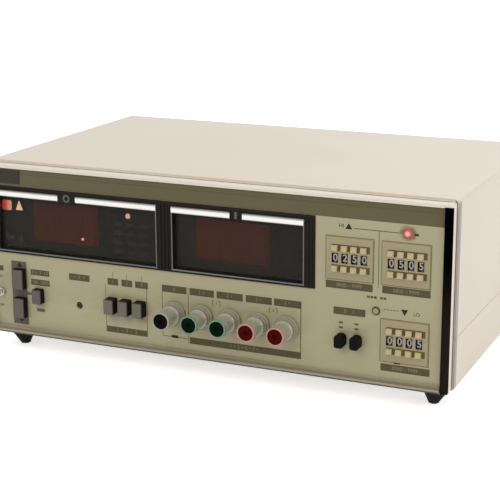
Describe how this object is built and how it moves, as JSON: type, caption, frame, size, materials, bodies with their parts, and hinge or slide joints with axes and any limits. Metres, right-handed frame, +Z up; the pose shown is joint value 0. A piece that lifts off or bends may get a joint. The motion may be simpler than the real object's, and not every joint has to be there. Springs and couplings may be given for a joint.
{
  "type": "bench component meter",
  "caption": "Bench test instrument in a low metal case, with two smoked digital displays, push buttons, binding posts and pushwheel limit switches on its front.",
  "frame": {"origin": "under the middle of the part, on the surface that the feet stand on", "axes": "+X to the right seen from the front, +Y from the front panel into the case, +Z up"},
  "size_m": [0.423, 0.2882, 0.171],
  "materials": {
    "cream_paint": "fine textured cream enamel, semi-matt",
    "bezel_paint": "smooth cream enamel, satin",
    "panel_paint": "beige-olive enamel, matt, with dark printed bars",
    "rear_paint": "beige enamel, matt",
    "black_strip": "black extrusion, satin gloss",
    "black_bezel": "black moulding, fine grain",
    "silver_frame": "bright anodised",
    "smoked_lens": "smoked acrylic, polished",
    "circuit_board": "green laminate",
    "transformer_steel": "varnished laminations",
    "black_plastic": "black moulding, satin",
    "foot_rubber": "matt",
    "grey_plastic": "grey face on a black key, satin",
    "plated_metal": "nickel plated",
    "lit_led": "diffused red, lit",
    "clear_led": "diffused, unlit",
    "post_plastic": "pale moulding",
    "post_nickel": "dull nickel plate, coloured end",
    "switch_olive": "yellow-olive moulding",
    "wheel_black": "dark wheel with pale digits"
  },
  "bodies": {
    "chassis": {"bottom_cover": "cream_paint", "display_bezel": "black_bezel", "display_board": "circuit_board", "foot_front_left": "foot_rubber", "foot_front_right": "foot_rubber", "foot_rear_left": "foot_rubber", "foot_rear_right": "foot_rubber", "front_bezel": "bezel_paint", "front_panel": "panel_paint", "fuse_holder": "black_plastic", "key_board": "circuit_board", "limit_led": "lit_led", "main_board": "circuit_board", "mains_inlet": "black_plastic", "post_base_1": "post_plastic", "post_base_2": "post_plastic", "post_base_3": "post_plastic", "post_base_4": "post_plastic", "post_base_5": "post_plastic", "power_switch_body": "plated_metal", "power_transformer": "transformer_steel", "pushwheel_housing_lower": "switch_olive", "pushwheel_housing_upper_left": "switch_olive", "pushwheel_housing_upper_right": "switch_olive", "rear_panel": "rear_paint", "ring_led": "clear_led", "side_strip_left": "black_strip", "side_strip_right": "black_strip", "top_cover": "cream_paint", "window_frame_left": "silver_frame", "window_frame_right": "silver_frame", "window_lens_left": "smoked_lens", "window_lens_right": "smoked_lens"},
    "range_up_press_body": {"range_up_button": "grey_plastic"},
    "range_down_press_body": {"range_down_button": "grey_plastic"},
    "hold_press_body": {"hold_button": "grey_plastic"},
    "mode_1_press_body": {"mode_button_1": "grey_plastic"},
    "mode_2_press_body": {"mode_button_2": "grey_plastic"},
    "mode_3_press_body": {"mode_button_3": "grey_plastic"},
    "function_1_press_body": {"function_button_1": "black_plastic"},
    "function_2_press_body": {"function_button_2": "black_plastic"},
    "power_flip_body": {"power_lever": "plated_metal"},
    "zero_adjust_body": {"zero_trimmer": "plated_metal"},
    "post_1_unscrew_body": {"post_nut_1": "post_nickel"},
    "post_2_unscrew_body": {"post_nut_2": "post_nickel"},
    "post_3_unscrew_body": {"post_nut_3": "post_nickel"},
    "post_4_unscrew_body": {"post_nut_4": "post_nickel"},
    "post_5_unscrew_body": {"post_nut_5": "post_nickel"},
    "upper_left_decade_1_body": {"digit_wheel_upper_left_1": "wheel_black"},
    "upper_left_decade_2_body": {"digit_wheel_upper_left_2": "wheel_black"},
    "upper_left_decade_3_body": {"digit_wheel_upper_left_3": "wheel_black"},
    "upper_left_decade_4_body": {"digit_wheel_upper_left_4": "wheel_black"},
    "upper_right_decade_1_body": {"digit_wheel_upper_right_1": "wheel_black"},
    "upper_right_decade_2_body": {"digit_wheel_upper_right_2": "wheel_black"},
    "upper_right_decade_3_body": {"digit_wheel_upper_right_3": "wheel_black"},
    "upper_right_decade_4_body": {"digit_wheel_upper_right_4": "wheel_black"},
    "lower_decade_1_body": {"digit_wheel_lower_1": "wheel_black"},
    "lower_decade_2_body": {"digit_wheel_lower_2": "wheel_black"},
    "lower_decade_3_body": {"digit_wheel_lower_3": "wheel_black"},
    "lower_decade_4_body": {"digit_wheel_lower_4": "wheel_black"}
  },
  "joints": [
    {"name": "range_up_press", "type": "slide", "parent": "chassis", "child": "range_up_press_body", "axis": [0, 1, 0], "range_m": [0, 0.003], "stiffness_N_per_m": 300},
    {"name": "range_down_press", "type": "slide", "parent": "chassis", "child": "range_down_press_body", "axis": [0, 1, 0], "range_m": [0, 0.003], "stiffness_N_per_m": 300},
    {"name": "hold_press", "type": "slide", "parent": "chassis", "child": "hold_press_body", "axis": [0, 1, 0], "range_m": [0, 0.003], "stiffness_N_per_m": 300},
    {"name": "mode_1_press", "type": "slide", "parent": "chassis", "child": "mode_1_press_body", "axis": [0, 1, 0], "range_m": [0, 0.003], "stiffness_N_per_m": 300},
    {"name": "mode_2_press", "type": "slide", "parent": "chassis", "child": "mode_2_press_body", "axis": [0, 1, 0], "range_m": [0, 0.003], "stiffness_N_per_m": 300},
    {"name": "mode_3_press", "type": "slide", "parent": "chassis", "child": "mode_3_press_body", "axis": [0, 1, 0], "range_m": [0, 0.003], "stiffness_N_per_m": 300},
    {"name": "function_1_press", "type": "slide", "parent": "chassis", "child": "function_1_press_body", "axis": [0, 1, 0], "range_m": [0, 0.003], "stiffness_N_per_m": 300},
    {"name": "function_2_press", "type": "slide", "parent": "chassis", "child": "function_2_press_body", "axis": [0, 1, 0], "range_m": [0, 0.003], "stiffness_N_per_m": 300},
    {"name": "power_flip", "type": "hinge", "parent": "chassis", "child": "power_flip_body", "pos_m": [-0.1977, -0.12145, 0.0543], "axis": [1, 0, 0], "range_deg": [0, 32]},
    {"name": "zero_adjust", "type": "hinge", "parent": "chassis", "child": "zero_adjust_body", "pos_m": [-0.1189, -0.11845, 0.05049], "axis": [0, -1, 0], "range_deg": [-135, 135]},
    {"name": "post_1_unscrew", "type": "hinge", "parent": "chassis", "child": "post_1_unscrew_body", "pos_m": [-0.02713, -0.12405, 0.0547], "axis": [0, -1, 0], "continuous": true},
    {"name": "post_2_unscrew", "type": "hinge", "parent": "chassis", "child": "post_2_unscrew_body", "pos_m": [-0.00168, -0.12405, 0.0547], "axis": [0, -1, 0], "continuous": true},
    {"name": "post_3_unscrew", "type": "hinge", "parent": "chassis", "child": "post_3_unscrew_body", "pos_m": [0.02377, -0.12405, 0.0547], "axis": [0, -1, 0], "continuous": true},
    {"name": "post_4_unscrew", "type": "hinge", "parent": "chassis", "child": "post_4_unscrew_body", "pos_m": [0.04922, -0.12405, 0.0547], "axis": [0, -1, 0], "continuous": true},
    {"name": "post_5_unscrew", "type": "hinge", "parent": "chassis", "child": "post_5_unscrew_body", "pos_m": [0.07468, -0.12405, 0.0547], "axis": [0, -1, 0], "continuous": true},
    {"name": "upper_left_decade_1", "type": "hinge", "parent": "chassis", "child": "upper_left_decade_1_body", "pos_m": [0.1157, -0.10845, 0.1181], "axis": [1, 0, 0], "continuous": true},
    {"name": "upper_left_decade_2", "type": "hinge", "parent": "chassis", "child": "upper_left_decade_2_body", "pos_m": [0.1237, -0.10845, 0.1181], "axis": [1, 0, 0], "continuous": true},
    {"name": "upper_left_decade_3", "type": "hinge", "parent": "chassis", "child": "upper_left_decade_3_body", "pos_m": [0.1317, -0.10845, 0.1181], "axis": [1, 0, 0], "continuous": true},
    {"name": "upper_left_decade_4", "type": "hinge", "parent": "chassis", "child": "upper_left_decade_4_body", "pos_m": [0.1397, -0.10845, 0.1181], "axis": [1, 0, 0], "continuous": true},
    {"name": "upper_right_decade_1", "type": "hinge", "parent": "chassis", "child": "upper_right_decade_1_body", "pos_m": [0.1619, -0.10845, 0.1181], "axis": [1, 0, 0], "continuous": true},
    {"name": "upper_right_decade_2", "type": "hinge", "parent": "chassis", "child": "upper_right_decade_2_body", "pos_m": [0.1699, -0.10845, 0.1181], "axis": [1, 0, 0], "continuous": true},
    {"name": "upper_right_decade_3", "type": "hinge", "parent": "chassis", "child": "upper_right_decade_3_body", "pos_m": [0.1779, -0.10845, 0.1181], "axis": [1, 0, 0], "continuous": true},
    {"name": "upper_right_decade_4", "type": "hinge", "parent": "chassis", "child": "upper_right_decade_4_body", "pos_m": [0.1859, -0.10845, 0.1181], "axis": [1, 0, 0], "continuous": true},
    {"name": "lower_decade_1", "type": "hinge", "parent": "chassis", "child": "lower_decade_1_body", "pos_m": [0.1619, -0.10845, 0.05541], "axis": [1, 0, 0], "continuous": true},
    {"name": "lower_decade_2", "type": "hinge", "parent": "chassis", "child": "lower_decade_2_body", "pos_m": [0.1699, -0.10845, 0.05541], "axis": [1, 0, 0], "continuous": true},
    {"name": "lower_decade_3", "type": "hinge", "parent": "chassis", "child": "lower_decade_3_body", "pos_m": [0.1779, -0.10845, 0.05541], "axis": [1, 0, 0], "continuous": true},
    {"name": "lower_decade_4", "type": "hinge", "parent": "chassis", "child": "lower_decade_4_body", "pos_m": [0.1859, -0.10845, 0.05541], "axis": [1, 0, 0], "continuous": true}
  ]
}
